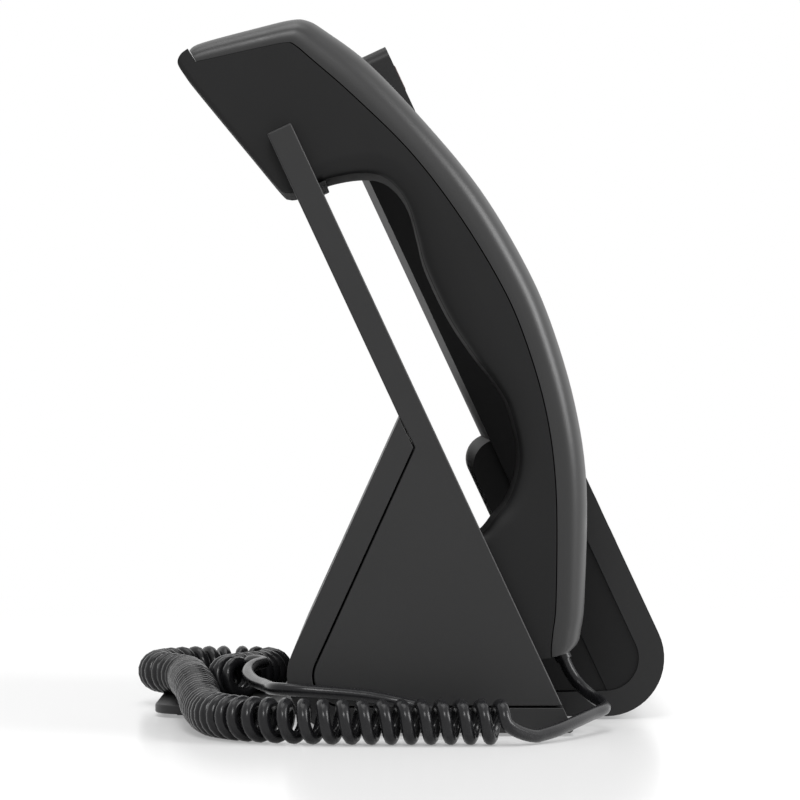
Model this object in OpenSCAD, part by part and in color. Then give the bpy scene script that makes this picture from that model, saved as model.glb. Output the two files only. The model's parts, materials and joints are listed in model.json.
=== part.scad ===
// Corded desk telephone that stands upright on a folded stand, with a handset cradle on its left.
// Millimetres. The front faces -Y and leans back, and the feet stand on z = 0.
// Side outlines are given as [forward, height]; outlines on the leaning front as [along, out].

/* [Front panel] */
// Width of the panel that carries the screen and the keys
panel_w = 160; // [150:1:200]
// Length of the panel along its slope, up to its top edge
panel_top = 190.8; // [186:0.5:220]
// Angle by which the panel leans back from upright
lean = 25; // [22:0.5:28]
// Depth of the folded band that makes the panel and its base
band = 7.9; // [7:0.1:9]
// Whole depth of the body behind the panel's face
body_depth = 22; // [20:0.5:26]
// Thickness of the moulded face that the keys pass through
skin = 2.5; // [2:0.1:3]
// Radius of the fold between the panel and its base
fold_r = 18; // [16:0.5:20]
// Radius of the panel's two top corners
corner_r = 3.5; // [2:0.5:6]

/* [Stand] */
// Thickness of the rear leg and of the base
leg_t = 7.4; // [6:0.1:8]
// Outer radius of the stand's rear fold
rear_fold_r = 16.6; // [15:0.2:20]
// Slope of the rear leg from the table
leg_slope = 65.5; // [64:0.5:68]
// Thickness of the stand's side plates
plate_t = 6; // [4:0.5:7]
// Height of the rubber feet
foot_h = 1; // [0.8:0.1:2]
// Depth of the cradle's upright bar
bar_t = 7.7; // [6:0.1:9]
// Length of the cradle's upright bar along its slope
bar_top = 177.2; // [172:0.5:184]

/* [Cradle and handset] */
// Width between the cradle's outer face and the body
cradle_w = 66; // [62:0.5:80]
// Width of the handset
handset_w = 50; // [44:0.5:50]
// Wall of the handset's two shells
handset_wall = 2.4; // [2:0.1:3]
// Distance that the handset lifts off the cradle
handset_lift = 60; // [40:1:80]

/* [Keys] */
// Width of a dial key
key_w = 18; // [14:0.5:18.5]
// Height of a dial key
key_h = 8.6; // [7:0.1:9]
// Distance from one dial key to the next across
key_pitch_x = 21.5; // [20:0.5:23]
// Distance from one row of keys to the next
key_pitch_t = 11.6; // [11:0.1:12.5]
// Height of a key above the panel
key_proud = 1.2; // [0.8:0.1:2]
// Distance that a key travels
key_travel = 1.2; // [0.8:0.1:1.4]
// Clearance round a key
key_gap = 0.3; // [0.2:0.05:0.5]
// Radius of a dial key's corners
key_r = 1.6; // [1:0.1:3]

/* [Screen] */
// Width of the screen window
window_w = 120; // [90:1:130]
// Height of the screen window
window_h = 66; // [50:1:67]
// Thickness of the screen glass
glass_t = 1.8; // [1:0.1:2]

/* [Cord] */
// Diameter of the cord's wire
wire_d = 3.8; // [3.5:0.1:4]
// Outer diameter of the coiled stretch
coil_d = 13.4; // [12:0.1:14]

/* [Hidden] */
$fn = 64;
gap = 0.3;
seat = 0.05;
whole_w = cradle_w + panel_w;
left_x = -whole_w / 2;
body_x = left_x + cradle_w;
right_x = whole_w / 2;

// The leaning planes, as distances out from the line through the origin that leans with the panel.
bar_face = 47.1;
bar_back = bar_face - bar_t;
panel_face = 83.8;
band_back = panel_face - band;
body_back = panel_face - body_depth;
housing_back = body_back - 8.9;

// Heights and corner centres of the stand.
base_top = foot_h + leg_t;
rear_fold = [-16.7, foot_h + rear_fold_r];
front_fold = [
    (panel_face - fold_r - (foot_h + fold_r) * sin(lean)) / cos(lean),
    foot_h + fold_r
];
foot_plate_end = -76.6;
front_end = front_fold[0] + fold_r;
mid_forward = (front_end + foot_plate_end) / 2;

function slope(out, along) =
    [out * cos(lean) - along * sin(lean), out * sin(lean) + along * cos(lean)];
function along_at(out, height) = (height - out * sin(lean)) / cos(lean);
function arc(c, r, a0, a1, steps = 16) =
    [for (i = [0 : steps]) c + r * [cos(a0 + (a1 - a0) * i / steps), sin(a0 + (a1 - a0) * i / steps)]];
// A smooth line through hand-chosen points.
function blend4(a, b, c, d, s) =
    0.5 * (2 * b + (c - a) * s + (2 * a - 5 * b + 4 * c - d) * s * s + (3 * b - a - 3 * c + d) * s * s * s);
function smooth(p, steps) = [
    for (i = [0 : len(p) - 2], j = [0 : steps - 1])
        blend4(p[max(i - 1, 0)], p[i], p[i + 1], p[min(i + 2, len(p) - 1)], j / steps),
    p[len(p) - 1]
];
function reversed(p) = [for (i = [len(p) - 1 : -1 : 0]) p[i]];
function unit(v) = v / norm(v);

// Draws a side outline of [forward, height] points across the width, from x0 over a width w.
module across(points, x0, w) {
    translate([x0, 0, 0])
        rotate([90, 0, 90])
            linear_extrude(w)
                polygon([for (p = points) [mid_forward - p[0], p[1]]]);
}
// Puts children, drawn flat as [x, along, out], on the leaning front.
module on_slope() {
    translate([0, mid_forward, 0])
        rotate([90 - lean, 0, 0])
            children();
}
// Draws an outline of [along, out] points across the width, in the leaning frame.
module slope_across(points, x0, w) {
    translate([x0, 0, 0])
        rotate([90, 0, 90])
            linear_extrude(w)
                polygon(points);
}
// A block in the leaning frame between two corners of [x, along, out].
module block(low, high) {
    translate(low)
        cube(high - low);
}
// A block in the leaning frame with round corners, centred on [x, along].
module round_block(c, w, h, r, out0, out1) {
    translate([c[0], c[1], out0])
        linear_extrude(out1 - out0)
            union() {
                square([w - 2 * r, h], center = true);
                square([w, h - 2 * r], center = true);
                for (sx = [-1, 1], sy = [-1, 1])
                    translate([sx * (w / 2 - r), sy * (h / 2 - r)])
                        circle(r);
            }
}
module peg(c, r, out0, out1) {
    translate([c[0], c[1], out0])
        cylinder(h = out1 - out0, r = r);
}

// ---- Layout of the panel ----
keypad_x = body_x + 65;
keypad_t = 22;
column_x = body_x + 129;
screen_c = [body_x + panel_w / 2, panel_top - 41.8];
soft_t = 106;
soft_w = 24;
soft_h = 6.4;
soft_pitch = 29;
side_key_w = 26;
ring_c = [keypad_x, 82];
ring_r = 15;
ok_r = 6.6;
ring_hole_r = ok_r + key_gap;
speaker_c = [body_x + 19, 42];
speaker_r = 14;
lamp_c = [body_x + 7.5, panel_top - 10.5];
lamp_w = 7;
lamp_h = 8.5;
flange = 1;
flange_t = 1.2;
skin_back = panel_face - skin;
boss_x = [body_x + 16, right_x - 14];
boss_t = [82, panel_top - 14];
board_face = body_back + 10.2;
board_back = board_face - 1.6;
mat_face = skin_back - gap - flange_t - key_travel - 1.6;
dial_names = ["1", "2", "3", "4", "5", "6", "7", "8", "9", "star", "0", "hash"];
function dial_c(i) =
    [keypad_x + (i % 3 - 1) * key_pitch_x, keypad_t + (3 - floor(i / 3)) * key_pitch_t];
function soft_c(i) = [screen_c[0] + (i - 1.5) * soft_pitch, soft_t];
function side_c(i) = [column_x, keypad_t + i * key_pitch_t];

// ---- Body ----
module band_solid() {
    seam_low = slope(bar_face, along_at(bar_face, foot_h));
    seam_high = slope(bar_face, along_at(bar_face, base_top));
    across(
        concat(
            [seam_high, seam_low],
            arc(front_fold, fold_r, -90, lean),
            [slope(panel_face, panel_top), slope(band_back, panel_top)],
            reversed(arc(front_fold, fold_r - band, -90, lean))
        ),
        body_x, panel_w
    );
}
module top_corner(x, side) {
    on_slope()
        difference() {
            block(
                [x - (side > 0 ? corner_r : 1), panel_top - corner_r, body_back - 1],
                [x + (side > 0 ? 1 : corner_r), panel_top + 1, panel_face + 1]
            );
            translate([x - side * corner_r, panel_top - corner_r, body_back - 2])
                cylinder(h = body_depth + 4, r = corner_r);
        }
}
module front_panel() {
    color([0.16, 0.16, 0.17])
        difference() {
            band_solid();
            top_corner(body_x, -1);
            top_corner(right_x, 1);
            on_slope() {
                // The pocket behind the face
                block([body_x + skin, 14, band_back - 1], [right_x - skin, panel_top - skin, skin_back]);
                block(
                    [screen_c[0] - window_w / 2, screen_c[1] - window_h / 2, skin_back - 1],
                    [screen_c[0] + window_w / 2, screen_c[1] + window_h / 2, panel_face + 1]
                );
                for (i = [0 : 11])
                    round_block(dial_c(i), key_w + 2 * key_gap, key_h + 2 * key_gap, key_r,
                        skin_back - 1, panel_face + 1);
                for (i = [0 : 3])
                    round_block(soft_c(i), soft_w + 2 * key_gap, soft_h + 2 * key_gap, key_r,
                        skin_back - 1, panel_face + 1);
                for (i = [0 : 3])
                    round_block(side_c(i), side_key_w + 2 * key_gap, key_h + 2 * key_gap, key_r,
                        skin_back - 1, panel_face + 1);
                peg(ring_c, ring_r + key_gap, skin_back - 1, panel_face + 1);
                round_block(lamp_c, lamp_w + 0.2, lamp_h + 0.2, 1.5, skin_back - 1, panel_face + 1);
                // The sound slots of the loudspeaker
                for (i = [-3 : 3])
                    block(
                        [speaker_c[0] - 10, speaker_c[1] + i * 4 - 0.7, skin_back - 1],
                        [speaker_c[0] + 10, speaker_c[1] + i * 4 + 0.7, panel_face + 1]
                    );
                peg([keypad_x, 13], 0.8, skin_back - 6, panel_face + 1);
            }
        }
}

side_step = 0.6;
shell_wall = 2;
shell_fold_r = fold_r - band - seat;
module rear_shell_outline(inset) {
    floor_z = base_top + seat + (band - leg_t) + inset;
    along_low = along_at(body_back + inset, floor_z);
    across(
        concat(
            arc([front_fold[0], front_fold[1]], shell_fold_r - inset, -90, lean),
            [
                slope(band_back - seat - inset, panel_top - 1 - inset),
                slope(body_back + inset, panel_top - 1 - inset),
                slope(body_back + inset, along_low)
            ]
        ),
        body_x + side_step + inset, panel_w - 2 * (side_step + inset)
    );
}
jack_along = [26, 40];
jack_x = [right_x - 70, right_x - 50];
jack_w = 14;
module rear_shell() {
    color([0.1, 0.1, 0.105])
        difference() {
            rear_shell_outline(0);
            difference() {
                rear_shell_outline(shell_wall);
                // Bosses that carry the board
                on_slope()
                    for (x = boss_x, t = boss_t)
                        peg([x, t], 3, body_back, board_back - seat);
            }
            top_corner(body_x + side_step, -1);
            top_corner(right_x - side_step, 1);
            on_slope() {
                // The open front towards the panel
                block([body_x + 3, 14, board_face + 0.6], [right_x - 3, panel_top - 3.5, band_back + 1]);
                for (x = jack_x)
                    block(
                        [x - jack_w / 2 - gap, jack_along[0] - gap, body_back - 1],
                        [x + jack_w / 2 + gap, jack_along[1] + gap, body_back + shell_wall + 1]
                    );
            }
        }
}
housing_top = 66.3;
housing_r = 8.4;
housing_seat = 28;
housing_wall = 2.2;
module housing_outline(inset) {
    low = base_top + seat + (band - leg_t) + inset;
    slope_across(
        concat(
            [
                [along_at(body_back, low), body_back - seat - inset],
                [housing_top - inset, body_back - seat - inset]
            ],
            arc([housing_top - housing_r, housing_back + housing_r], housing_r - inset, 0, -90),
            [
                [housing_seat - inset, housing_back + inset],
                [housing_seat - inset, bar_face + seat + inset],
                [along_at(bar_face + seat, low), bar_face + seat + inset]
            ]
        ),
        body_x + 1 + inset, panel_w - 2 - 2 * inset
    );
}
module rear_housing() {
    color([0.09, 0.09, 0.095])
        on_slope()
            difference() {
                housing_outline(0);
                housing_outline(housing_wall);
                for (x = jack_x)
                    block(
                        [x - jack_w / 2 - gap, jack_along[0] - gap, bar_face - 1],
                        [x + jack_w / 2 + gap, jack_along[1] + gap, body_back + 1]
                    );
            }
}

// ---- Stand ----
leg_dir = [cos(leg_slope), sin(leg_slope)];
leg_foot = rear_fold + rear_fold_r * [cos(leg_slope + 90), sin(leg_slope + 90)];
leg_foot_in = rear_fold + (rear_fold_r - leg_t) * [cos(leg_slope + 90), sin(leg_slope + 90)];
out_of = [cos(lean), sin(lean)];
// The point where a line that starts at p and runs up the leg meets the leaning plane at distance out
function leg_meets(p, out) = p + leg_dir * (out - p * out_of) / (leg_dir * out_of);
module stand_fold() {
    nose = slope(bar_face, along_at(bar_face, foot_h));
    color([0.17, 0.17, 0.18])
        difference() {
            across(
                concat(
                    [leg_meets(leg_foot, bar_back)],
                    arc(rear_fold, rear_fold_r, leg_slope + 90, 270),
                    [nose - [1.5, 0], nose + [-0.55, 0.6]],
                    [slope(bar_face, along_at(bar_face, base_top))],
                    reversed(arc(rear_fold, rear_fold_r - leg_t, leg_slope + 90, 270)),
                    [leg_meets(leg_foot_in, bar_back)]
                ),
                left_x, whole_w
            );
            // Cable opening in the rear leg
            translate([body_x + 50, mid_forward - rear_fold[0] - 40, 34])
                cube([62, 70, 16]);
            jack_pocket(0);
        }
}
groove = 0.5;
module plate(x0, top) {
    across(
        concat(
            [
                slope(bar_face, along_at(bar_face, base_top + groove)),
                slope(bar_face, top),
                slope(bar_back, top),
                leg_meets(leg_foot, bar_back + 0.02),
                leg_meets(leg_foot_in, bar_back) + [groove, 0]
            ],
            arc(rear_fold, rear_fold_r - leg_t - groove, leg_slope + 90, 270)
        ),
        x0, plate_t
    );
}
module cradle_plate() {
    color([0.17, 0.17, 0.18])
        plate(left_x, bar_top);
}
module inner_plate() {
    color([0.17, 0.17, 0.18])
        plate(body_x - plate_t, bar_top - 4);
}
module right_plate() {
    color([0.17, 0.17, 0.18])
        plate(right_x - plate_t, 92);
}
foot_plate_low = foot_h + 0.2;
foot_plate_high = 4.1;
foot_plate_x = [left_x + 69.5, right_x - 6];
foot_plate_r = 12;
module foot_plate() {
    rear_y = mid_forward - foot_plate_end;
    front_y = mid_forward + 24;
    color([0.15, 0.15, 0.16])
        difference() {
            union() {
                translate([foot_plate_x[0], front_y, foot_plate_low])
                    cube([
                        foot_plate_x[1] - foot_plate_x[0],
                        rear_y - foot_plate_r - front_y,
                        foot_plate_high - foot_plate_low
                    ]);
                translate([foot_plate_x[0] + foot_plate_r, front_y, foot_plate_low])
                    cube([
                        foot_plate_x[1] - foot_plate_x[0] - 2 * foot_plate_r,
                        rear_y - front_y,
                        foot_plate_high - foot_plate_low
                    ]);
                for (x = [foot_plate_x[0] + foot_plate_r, foot_plate_x[1] - foot_plate_r])
                    translate([x, rear_y - foot_plate_r, foot_plate_low])
                        cylinder(h = foot_plate_high - foot_plate_low, r = foot_plate_r);
            }
            translate([left_x - 1, mid_forward - rear_fold[0], rear_fold[1]])
                rotate([0, 90, 0])
                    cylinder(h = whole_w + 2, r = rear_fold_r + 0.02);
        }
}
module rubber_feet() {
    color([0.06, 0.06, 0.06])
        union() {
            for (x = [left_x + 1.5, body_x - 16, right_x - 16])
                translate([x, mid_forward - 45, 0])
                    cube([14, 3.6, foot_h]);
            for (x = [foot_plate_x[0] + 14, foot_plate_x[1] - 28])
                translate([x, mid_forward + 66, 0])
                    cube([14, 4, foot_plate_low]);
        }
}

// ---- Cradle ----
cradle_in = [left_x + plate_t, body_x - plate_t];
rest_top = 158;
rest_h = 9;
rest_lip = 2;
rest_lip_t = 1.4;
module earpiece_rest() {
    color([0.12, 0.12, 0.125])
        on_slope() {
            block(
                [cradle_in[0] + seat, rest_top - rest_h, bar_back],
                [cradle_in[1] - seat, rest_top, bar_face - 0.5]
            );
            block(
                [cradle_in[0] + 1, rest_top - rest_lip_t, bar_face - 0.6],
                [cradle_in[1] - 1, rest_top, bar_face + rest_lip]
            );
        }
}
mouth_chin = [3.2, 33];
mouth_low = [5.2, 32];
mouth_high = [41, 37];
function mouth_out(along) =
    mouth_low[1] + (mouth_high[1] - mouth_low[1]) * (along - mouth_low[0]) / (mouth_high[0] - mouth_low[0]);
module mouthpiece_rest() {
    lip = bar_face - 1;
    rear = 15;
    color([0.12, 0.12, 0.125])
        on_slope()
            difference() {
                slope_across(
                    [
                        [along_at(lip, base_top + seat), lip],
                        [0.7, lip],
                        [1.2 - gap, 44],
                        [1.9 - gap, 37],
                        mouth_chin - [gap, gap],
                        [mouth_low[0] - 0.1, mouth_low[1] - gap],
                        [31, mouth_out(31) - gap],
                        [31, mouth_out(31) - 9],
                        [along_at(rear, base_top + seat), rear]
                    ],
                    cradle_in[0] + seat, cradle_in[1] - cradle_in[0] - 2 * seat
                );
                peg(hook_c, hook_r + 0.25, 10, mouth_high[1] + 2);
            }
}
hook_c = [(cradle_in[0] + cradle_in[1]) / 2, 22];
hook_r = 3;
module hook_switch() {
    color([0.07, 0.07, 0.075])
        on_slope()
            intersection() {
                peg(hook_c, hook_r, mouth_out(hook_c[1]) - 10, mouth_high[1]);
                slope_across(
                    [
                        [hook_c[1] - 5, mouth_low[1] - 20],
                        [hook_c[1] + 5, mouth_low[1] - 20],
                        [hook_c[1] + 5, mouth_out(hook_c[1] + 5) - gap],
                        [hook_c[1] - 5, mouth_out(hook_c[1] - 5) - gap]
                    ],
                    cradle_in[0], cradle_in[1] - cradle_in[0]
                );
            }
}

// ---- Handset ----
hand_x = (cradle_in[0] + cradle_in[1] - handset_w) / 2;
back_points = [
    [205, 64], [191, 73], [167, 82], [140, 89.6], [113, 93], [89, 92.4],
    [64, 88.4], [41, 81], [26, 74.2], [12, 66.4], [3, 61]
];
seam_points = [
    [199.8, 56.4], [178, 67], [156, 75.3], [134, 80.4], [111, 83.2], [93, 83.2],
    [69, 79.7], [46, 72.4], [17, 58.9], [3.7, 50.5]
];
grip_points = [
    [158.5, 49], [156, 58.5], [152.6, 64.5], [147, 67.6], [140, 68.3], [131, 66.8], [122, 65.2],
    [106, 65.3], [92, 67.4], [83, 69.5], [75.5, 70.4], [68, 69.4], [62, 67.9], [57, 65.6],
    [52, 61.6], [48.6, 57.6], [46, 52.4], [43.4, 47.6]
];
function lowered(p, by) = [for (q = p) q - [0, by]];
module handset_back() {
    color([0.2, 0.2, 0.21])
        on_slope()
            difference() {
                slope_across(
                    concat(
                        [[206.05, 29.65], [210.95, 29.25], [211.7, 33], [206.4, 60.6]],
                        smooth(back_points, 4),
                        [[1.2, 59.4], [0.4, 57.6], [0.2, 54.6], [0.8, 50.3]],
                        reversed(smooth(seam_points, 4))
                    ),
                    hand_x, handset_w
                );
                // The hollow inside the handle
                slope_across(
                    concat(
                        lowered(smooth([for (i = [1 : 8]) back_points[i]], 4), handset_wall * 1.3),
                        reversed(lowered(smooth([for (i = [1 : 8]) seam_points[i]], 4), 2))
                    ),
                    hand_x + handset_wall, handset_w - 2 * handset_wall
                );
                handset_bores();
            }
}
module handset_front() {
    color([0.18, 0.18, 0.19])
        on_slope()
            difference() {
                slope_across(
                    concat(
                        lowered(smooth(seam_points, 4), seat),
                        [[1.2, 44], [1.9, 37], mouth_chin, mouth_low, mouth_high, mouth_high + [1.4, 1.6]],
                        reversed(smooth(grip_points, 3)),
                        [[158.3, 38.6], [159.4, 36.4], [161.2, 35.4]],
                        [[206.9, 23.9], [208.7, 23.9], [210.2, 25.8]],
                        [[210.9, 29.2], [206, 29.6]]
                    ),
                    hand_x, handset_w
                );
                // Ear cavity, handle channel and mouth cavity
                slope_across(
                    [[162, 39.6], [162, 70], [196, 53], [202, 34], [200, 29.8]],
                    hand_x + handset_wall, handset_w - 2 * handset_wall
                );
                slope_across(
                    concat(
                        lowered(smooth([for (i = [3 : 7]) seam_points[i]], 3), 1),
                        reversed(lowered(smooth([for (i = [4 : 12]) grip_points[i]], 3), -handset_wall))
                    ),
                    hand_x + handset_wall, handset_w - 2 * handset_wall
                );
                slope_across(
                    [[7, 37], [7, 47], [40, 64], [40, 41]],
                    hand_x + handset_wall, handset_w - 2 * handset_wall
                );
                handset_bores();
            }
}
screw_x = [hand_x + 9, hand_x + handset_w - 9];
module handset_bores() {
    for (x = screw_x)
        peg([x, 50], 1.3, 56, 82);
    translate([plug_x, -2, plug_out])
        rotate([-90, 0, 0])
            cylinder(h = 8, r = socket_bore_r);
    translate([plug_x, socket_low - seat, plug_out])
        rotate([-90, 0, 0])
            cylinder(h = socket_l + 2 * seat, r = socket_r + seat);
}
module handset_screws() {
    color([0.6, 0.6, 0.62])
        on_slope()
            for (x = screw_x)
                peg([x, 50], 1.2, 62, 78);
}
ear_c = [hand_x + handset_w / 2, 181];
ear_tilt = 14.4;
module receiver_capsule() {
    color([0.3, 0.3, 0.32])
        on_slope()
            translate([ear_c[0], ear_c[1], 35.2])
                rotate([-ear_tilt, 0, 0])
                    difference() {
                        cylinder(h = 9, r = 16);
                        translate([0, 0, 7])
                            cylinder(h = 3, r = 6);
                    }
}
module microphone_capsule() {
    color([0.3, 0.3, 0.32])
        on_slope()
            peg([hand_x + handset_w / 2, 24], 4.8, 41.6 - 1.8 + 0.4, 46.5);
}
module handset_weight() {
    color([0.45, 0.45, 0.47])
        on_slope()
            block([hand_x + 12, 90, 70.6], [hand_x + handset_w - 12, 122, 79]);
}

plug_out = 53.6;
socket_r = 3.9;
socket_bore_r = 2.7;
plug_r = 2.5;
socket_low = 2.2;
socket_l = 10;
plug_x = hand_x + handset_w / 2;
module handset_socket() {
    color([0.1, 0.1, 0.1])
        on_slope()
            translate([plug_x, socket_low, plug_out])
                rotate([-90, 0, 0])
                    difference() {
                        cylinder(h = socket_l, r = socket_r);
                        translate([0, 0, -1])
                            cylinder(h = socket_l, r = socket_bore_r);
                    }
}
plug_tail = 2.2;
module handset_plug() {
    color([0.05, 0.05, 0.05])
        on_slope()
            translate([plug_x, -plug_tail, plug_out])
                rotate([-90, 0, 0])
                    cylinder(h = plug_tail + socket_low + socket_l - 1.4, r = plug_r);
}

// ---- Keys ----
module plain_key(c, w, h) {
    round_block(c, w, h, key_r, skin_back - gap, panel_face + key_proud);
    flange_top = skin_back - gap / 2;
    round_block(c, w + 2 * flange, h + 2 * flange - 1, key_r, flange_top - flange_t, flange_top);
    block(
        [c[0] - w / 4, c[1] - h / 4, mat_face + key_travel + 0.1],
        [c[0] + w / 4, c[1] + h / 4, skin_back - flange_t]
    );
}
module dial_key(i) {
    color([0.14, 0.14, 0.145])
        on_slope()
            plain_key(dial_c(i), key_w, key_h);
}
module soft_key(i) {
    color([0.14, 0.14, 0.145])
        on_slope()
            plain_key(soft_c(i), soft_w, soft_h);
}
module side_key(i) {
    color([0.14, 0.14, 0.145])
        on_slope()
            plain_key(side_c(i), side_key_w, key_h);
}
module navigation_ring() {
    color([0.14, 0.14, 0.145])
        on_slope()
            difference() {
                union() {
                    peg(ring_c, ring_r, skin_back - gap, panel_face + key_proud);
                    peg(ring_c, ring_r + flange, skin_back - gap / 2 - flange_t, skin_back - gap / 2);
                    peg(ring_c, 11, mat_face + key_travel + 0.1, skin_back - gap / 2);
                }
                peg(ring_c, ring_hole_r, mat_face, panel_face + key_proud + 1);
            }
}
module ok_key() {
    color([0.2, 0.2, 0.21])
        on_slope()
            peg(ring_c, ok_r, mat_face + key_travel + 0.1, panel_face + key_proud + 0.3);
}
module key_mat() {
    color([0.25, 0.25, 0.26])
        on_slope()
            difference() {
                block(
                    [keypad_x - key_pitch_x - key_w / 2 - 0.6, 17, board_face + seat],
                    [right_x - 10, soft_t + 6, mat_face]
                );
                for (x = boss_x)
                    peg([x, boss_t[0]], 3.2, board_face - 1, mat_face + 1);
            }
}

// ---- Inside and small pieces ----
glass_gap = 0.2;
glass_face = panel_face - 0.4;
module screen_glass() {
    color([0.03, 0.03, 0.035])
        on_slope()
            block(
                [
                    screen_c[0] - window_w / 2 + glass_gap,
                    screen_c[1] - window_h / 2 + glass_gap,
                    glass_face - glass_t
                ],
                [screen_c[0] + window_w / 2 - glass_gap, screen_c[1] + window_h / 2 - glass_gap, glass_face]
            );
}
module screen_module() {
    color([0.35, 0.36, 0.38])
        on_slope()
            block(
                [screen_c[0] - window_w / 2 - 2, screen_c[1] - window_h / 2 - 1, skin_back - 4.6],
                [screen_c[0] + window_w / 2 + 2, screen_c[1] + window_h / 2 + 2, skin_back - 0.1]
            );
}
module main_board() {
    color([0.1, 0.3, 0.16])
        on_slope()
            difference() {
                block([body_x + 6, 18, board_back], [right_x - 6, panel_top - 8, board_face]);
                block(
                    [body_x, 10, board_back - 1],
                    [speaker_c[0] + speaker_r + 2, speaker_c[1] + speaker_r + 3, board_face + 1]
                );
                block(
                    [jack_x[0] - jack_w, 10, board_back - 1],
                    [jack_x[1] + jack_w, jack_along[1] + 3, board_face + 1]
                );
            }
}
module loudspeaker() {
    color([0.3, 0.3, 0.31])
        on_slope()
            difference() {
                union() {
                    peg(speaker_c, speaker_r, skin_back - 5, skin_back - 0.2);
                    peg(speaker_c, 8, skin_back - 14, skin_back - 4);
                }
                peg(speaker_c, 12, skin_back - 1.6, skin_back);
            }
}
module message_lamp() {
    color([0.75, 0.2, 0.15])
        on_slope()
            round_block(lamp_c, lamp_w, lamp_h, 1.4, skin_back - 1, panel_face + 0.35);
}
jack_hole_w = 11.6;
module network_jacks() {
    color([0.55, 0.56, 0.58])
        on_slope()
            for (x = jack_x)
                difference() {
                    block(
                        [x - jack_w / 2, jack_along[0], housing_back + 0.6],
                        [x + jack_w / 2, jack_along[1], board_face]
                    );
                    block(
                        [x - jack_hole_w / 2, jack_along[0] + 3, housing_back - 1],
                        [x + jack_hole_w / 2, jack_along[1] - 2.5, board_face - 2]
                    );
                }
}
jack_forward = 20;
jack_z = foot_h + leg_t / 2;
jack_y = mid_forward - jack_forward;
jack_l = 13;
module jack_pocket(inset) {
    translate([left_x + inset - (inset > 0 ? 0 : 1), jack_y - 4.8 + inset, jack_z - 2.9 + inset])
        cube([jack_l + (inset > 0 ? -2 * inset : 1), 9.6 - 2 * inset, 5.8 - 2 * inset]);
}
module handset_jack() {
    color([0.3, 0.3, 0.3])
        difference() {
            jack_pocket(seat);
            translate([left_x - 1, jack_y - 3.7, jack_z - 2.1])
                cube([11.5, 7.4, 4.2]);
        }
}
module base_plug() {
    color([0.05, 0.05, 0.05])
        union() {
            translate([left_x - 0.5, jack_y - 3.5, jack_z - 1.9])
                cube([10.5, 7, 3.8]);
            translate([left_x - 3, jack_y, jack_z])
                rotate([0, 90, 0])
                    cylinder(h = 3, r = 2.4);
        }
}
module housing_screws() {
    color([0.6, 0.6, 0.62])
        on_slope()
            for (x = boss_x, t = boss_t)
                peg([x, t], 2.6, board_face + 0.05, board_face + 1.8);
}

// ---- Cord ----
// A tube swept along points, with flat ends.
function side_of(t) = unit(cross(t, abs(t[2]) < 0.8 ? [0, 0, 1] : [0, 1, 0]));
module tube(path, r, sides) {
    n = len(path);
    rings = [
        for (i = [0 : n - 1])
            let (t = unit(path[min(i + 1, n - 1)] - path[max(i - 1, 0)]), a = side_of(t), b = cross(t, a))
                for (j = [0 : sides - 1])
                    path[i] + r * (cos(360 * j / sides) * a + sin(360 * j / sides) * b)
    ];
    walls = [
        for (i = [0 : n - 2], j = [0 : sides - 1])
            let (k = (j + 1) % sides)
                for (q = [0, 1])
                    q == 0
                        ? [i * sides + j, (i + 1) * sides + j, (i + 1) * sides + k]
                        : [i * sides + j, (i + 1) * sides + k, i * sides + k]
    ];
    first = [for (j = [0 : sides - 1]) j];
    last = [for (j = [sides - 1 : -1 : 0]) (n - 1) * sides + j];
    polyhedron(concat(rings), concat(walls, [first], [last]), convexity = 8);
}
down = [0, -sin(lean), -cos(lean)];
plug_tip = slope(plug_out, -plug_tail);
plug_end = [plug_x, mid_forward - plug_tip[0], plug_tip[1]] + seat * down;
wire_z = wire_d / 2 + 0.1;
coil_z = coil_d / 2 + 0.05;
on_plate_z = foot_plate_high + coil_d / 2 + 0.1;
coil_start = [-145, -29, coil_z];
handset_route = [
    plug_end, plug_end + 4 * down, [-81, -51.5, 13], [-84, -55.5, 9.6], [-90, -58, 8],
    [-98, -58, 7], [-108, -54, 6.2], [-120, -49, 5], [-132, -43, 3.4], [-141, -37, 2.4],
    [-145, -32, wire_z], [-145, -29.1, wire_z]
];
coil_route = [
    coil_start, [-145, -20, coil_z], [-145, -4, coil_z], [-145, 12, coil_z], [-143, 27, coil_z],
    [-139, 38, coil_z], [-132, 48, coil_z], [-121, 55, coil_z], [-107, 59, coil_z], [-88, 62, 7.8],
    [-68, 64, 9.6], [-52, 66, on_plate_z], [-34, 68, on_plate_z], [-12, 70, on_plate_z],
    [0, 74, on_plate_z], [10, 79, on_plate_z], [22, 81, on_plate_z], [34, 77, on_plate_z],
    [41, 68, on_plate_z], [43, 56, on_plate_z], [36, 46, on_plate_z], [24, 45, on_plate_z],
    [12, 50, on_plate_z], [2, 56, on_plate_z], [-10, 57, on_plate_z],
    [-19, 51, on_plate_z], [-20.5, 46, on_plate_z]
];
base_route = [
    [-20.6, 46, on_plate_z + 4.8], [-29, 45.5, 16.4], [-38, 48.5, 16], [-50, 49.5, 14.6],
    [-66, 47, 13.2], [-84, 43, 13], [-100, 41, 13.4], [-108.5, 40.8, 13.9],
    [-115.3, 38, 14.1], [-118.3, 30.5, 13.8], [-118.3, 14, 12.4],
    [-118.3, 4, 10.6], [-120, -4, 8.8], [-124, -11, 7], [-126.5, -15.5, 5.6], [-124, jack_y, 4.9],
    [-119, jack_y, jack_z], [left_x - 3, jack_y, jack_z]
];
module handset_lead() {
    color([0.04, 0.04, 0.04])
        tube(handset_route, wire_d / 2, 8);
}
module cord_coil() {
    color([0.05, 0.05, 0.05])
        tube(smooth(coil_route, 2), coil_d / 2, 12);
}
module base_lead() {
    color([0.04, 0.04, 0.04])
        tube(base_route, wire_d / 2, 8);
}

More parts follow.
